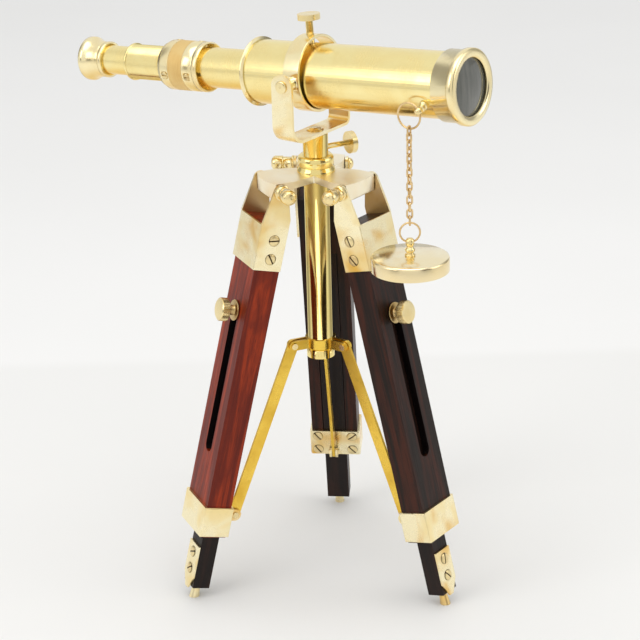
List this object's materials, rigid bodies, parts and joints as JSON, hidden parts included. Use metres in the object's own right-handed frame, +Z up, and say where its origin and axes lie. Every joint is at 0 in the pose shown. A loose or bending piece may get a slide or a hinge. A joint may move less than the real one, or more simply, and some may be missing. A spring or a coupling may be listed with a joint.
{
  "type": "telescope on tripod",
  "caption": "Desk telescope with draw tubes, a tilting fork and a chained lens cap, on a folding wooden tripod with sliding legs and a spreader.",
  "frame": {"origin": "on the floor, in the middle of the whole outline seen from above; the centre column stands 27.7 mm towards +X and -0.2 mm towards +Y from it", "axes": "+Z up, +X the way the front lens points, +Y to the left of that"},
  "size_m": [0.2464, 0.1504, 0.3113],
  "materials": {
    "polished_brass": "polished",
    "pale_brass": "mirror polished",
    "aged_brass": "aged, softly shiny",
    "matte_brass": "matte, brushed",
    "rosewood": "varnished red-brown",
    "dark_wood": "varnished dark brown",
    "lens_glass": "clear"
  },
  "bodies": {
    "stand": {"yoke": "pale_brass", "collar": "polished_brass", "column": "polished_brass"},
    "column_screw": {"column_thumbscrew": "polished_brass"},
    "leg_a": {"leg_a": "dark_wood", "top_bracket_a": "polished_brass", "hinge_bolt_a": "polished_brass", "leg_band_a": "polished_brass", "leg_screws_a": "polished_brass"},
    "lower_a": {"slider_a": "dark_wood", "foot_a": "polished_brass", "foot_screws_a": "polished_brass"},
    "clamp_a": {"clamp_knob_a": "polished_brass"},
    "strut_a": {"strut_a": "polished_brass"},
    "leg_b": {"leg_b": "dark_wood", "top_bracket_b": "polished_brass", "hinge_bolt_b": "polished_brass", "leg_band_b": "polished_brass", "leg_screws_b": "polished_brass"},
    "lower_b": {"slider_b": "dark_wood", "foot_b": "polished_brass", "foot_screws_b": "polished_brass"},
    "clamp_b": {"clamp_knob_b": "polished_brass"},
    "strut_b": {"strut_b": "polished_brass"},
    "leg_c": {"leg_c": "rosewood", "top_bracket_c": "polished_brass", "hinge_bolt_c": "polished_brass", "leg_band_c": "polished_brass", "leg_screws_c": "polished_brass"},
    "lower_c": {"slider_c": "dark_wood", "foot_c": "polished_brass", "foot_screws_c": "polished_brass"},
    "clamp_c": {"clamp_knob_c": "polished_brass"},
    "strut_c": {"strut_c": "polished_brass"},
    "spreader": {"spreader": "polished_brass", "spreader_pins": "polished_brass"},
    "fork": {"fork": "polished_brass", "fork_spindle": "polished_brass"},
    "ring": {"clamp_ring": "polished_brass", "pivot_screws": "polished_brass"},
    "ring_screw": {"ring_thumbscrew": "polished_brass"},
    "telescope": {"barrel": "polished_brass", "rear_flange": "polished_brass", "bezel": "pale_brass", "objective": "lens_glass", "eye_post": "polished_brass"},
    "draw_1": {"draw_tube_1": "polished_brass", "collar_front": "polished_brass", "grip_band": "matte_brass", "collar_rear": "polished_brass", "collar_screws": "polished_brass"},
    "draw_2": {"draw_tube_2": "polished_brass"},
    "draw_3": {"draw_tube_3": "polished_brass", "eyecup": "polished_brass", "eye_lens": "lens_glass"},
    "hanger": {"split_ring_top": "aged_brass"},
    "chain": {"chain": "aged_brass"},
    "lens_cap": {"cap": "pale_brass", "cap_knob": "polished_brass"}
  },
  "joints": [
    {"name": "leg_a_fold", "type": "hinge", "parent": "stand", "child": "leg_a", "pos_m": [0.05308, -0.00046, 0.225], "axis": [0.0087, 1, 0], "range_deg": [0, 9]},
    {"name": "leg_a_extend", "type": "slide", "parent": "leg_a", "child": "lower_a", "axis": [0.2419, -0.0021, -0.9703], "range_m": [0, 0.07]},
    {"name": "clamp_knob_a_turn", "type": "hinge", "parent": "lower_a", "child": "clamp_a", "pos_m": [0.07536, -0.00065, 0.16047], "axis": [0.9703, -0.0085, 0.2419], "continuous": true},
    {"name": "leg_b_fold", "type": "hinge", "parent": "stand", "child": "leg_b", "pos_m": [0.01518, 0.02187, 0.225], "axis": [-0.8704, -0.4924, 0], "range_deg": [0, 9]},
    {"name": "leg_b_extend", "type": "slide", "parent": "leg_b", "child": "lower_b", "axis": [-0.1191, 0.2106, -0.9703], "range_m": [0, 0.07]},
    {"name": "clamp_knob_b_turn", "type": "hinge", "parent": "lower_b", "child": "clamp_b", "pos_m": [0.00421, 0.04126, 0.16047], "axis": [-0.4778, 0.8445, 0.2419], "continuous": true},
    {"name": "leg_c_fold", "type": "hinge", "parent": "stand", "child": "leg_c", "pos_m": [0.01479, -0.02212, 0.225], "axis": [0.8616, -0.5075, 0], "range_deg": [0, 9]},
    {"name": "leg_c_extend", "type": "slide", "parent": "leg_c", "child": "lower_c", "axis": [-0.1228, -0.2084, -0.9703], "range_m": [0, 0.07]},
    {"name": "clamp_knob_c_turn", "type": "hinge", "parent": "lower_c", "child": "clamp_c", "pos_m": [0.00349, -0.04131, 0.16047], "axis": [-0.4925, -0.836, 0.2419], "continuous": true},
    {"name": "spreader_slide", "type": "slide", "parent": "stand", "child": "spreader", "axis": [0, 0, 1], "range_m": [0, 0.0054]},
    {"name": "strut_a_swing", "type": "hinge", "parent": "spreader", "child": "strut_a", "pos_m": [0.04368, -0.00037, 0.1348], "axis": [0.0087, 1, 0], "range_deg": [0, 17.4]},
    {"name": "strut_b_swing", "type": "hinge", "parent": "spreader", "child": "strut_b", "pos_m": [0.0198, 0.01369, 0.1348], "axis": [-0.8704, -0.4924, 0], "range_deg": [0, 17.4]},
    {"name": "strut_c_swing", "type": "hinge", "parent": "spreader", "child": "strut_c", "pos_m": [0.01956, -0.01402, 0.1348], "axis": [0.8616, -0.5075, 0], "range_deg": [0, 17.4]},
    {"name": "column_screw_turn", "type": "hinge", "parent": "stand", "child": "column_screw", "pos_m": [0.02768, -0.00023, 0.2409], "axis": [0.4384, 0.8988, 0], "continuous": true},
    {"name": "fork_pan", "type": "hinge", "parent": "stand", "child": "fork", "pos_m": [0.02768, -0.00023, 0.2491], "axis": [0, 0, 1], "continuous": true},
    {"name": "telescope_tilt", "type": "hinge", "parent": "fork", "child": "ring", "pos_m": [0.02768, -0.00023, 0.2795], "axis": [0, -1, 0], "range_deg": [-8, 22]},
    {"name": "ring_screw_turn", "type": "hinge", "parent": "ring", "child": "ring_screw", "pos_m": [0.02629, -0.00023, 0.29945], "axis": [-0.0698, 0, 0.9976], "continuous": true},
    {"name": "barrel_slide", "type": "slide", "parent": "ring", "child": "telescope", "axis": [0.9976, 0, 0.0698], "range_m": [-0.004, 0.018]},
    {"name": "draw_1_slide", "type": "slide", "parent": "telescope", "child": "draw_1", "axis": [-0.9976, 0, -0.0698], "range_m": [-0.031, 0.014]},
    {"name": "draw_2_slide", "type": "slide", "parent": "draw_1", "child": "draw_2", "axis": [-0.9976, 0, -0.0698], "range_m": [-0.023, 0.011]},
    {"name": "draw_3_slide", "type": "slide", "parent": "draw_2", "child": "draw_3", "axis": [-0.9976, 0, -0.0698], "range_m": [-0.0125, 0.009]},
    {"name": "chain_plumb", "type": "hinge", "parent": "telescope", "child": "hanger", "pos_m": [0.10408, -0.02073, 0.27654], "axis": [0, 1, 0], "range_deg": [-8, 22]},
    {"name": "chain_sway", "type": "hinge", "parent": "hanger", "child": "chain", "pos_m": [0.09856, -0.02073, 0.26721], "axis": [1, 0, 0], "range_deg": [-18, 18]},
    {"name": "cap_swing", "type": "hinge", "parent": "chain", "child": "lens_cap", "pos_m": [0.09856, -0.02073, 0.20936], "axis": [0.809, 0.5878, 0], "range_deg": [-15, 15]}
  ],
  "couplings": [
    {"joint": "leg_b_fold", "follows": "leg_a_fold", "ratio": 1},
    {"joint": "leg_c_fold", "follows": "leg_a_fold", "ratio": 1},
    {"joint": "spreader_slide", "follows": "leg_a_fold", "m_per_rad": 0.033518},
    {"joint": "strut_a_swing", "follows": "leg_a_fold", "ratio": 1.92},
    {"joint": "strut_b_swing", "follows": "leg_a_fold", "ratio": 1.92},
    {"joint": "strut_c_swing", "follows": "leg_a_fold", "ratio": 1.92},
    {"joint": "chain_plumb", "follows": "telescope_tilt", "ratio": 1}
  ]
}
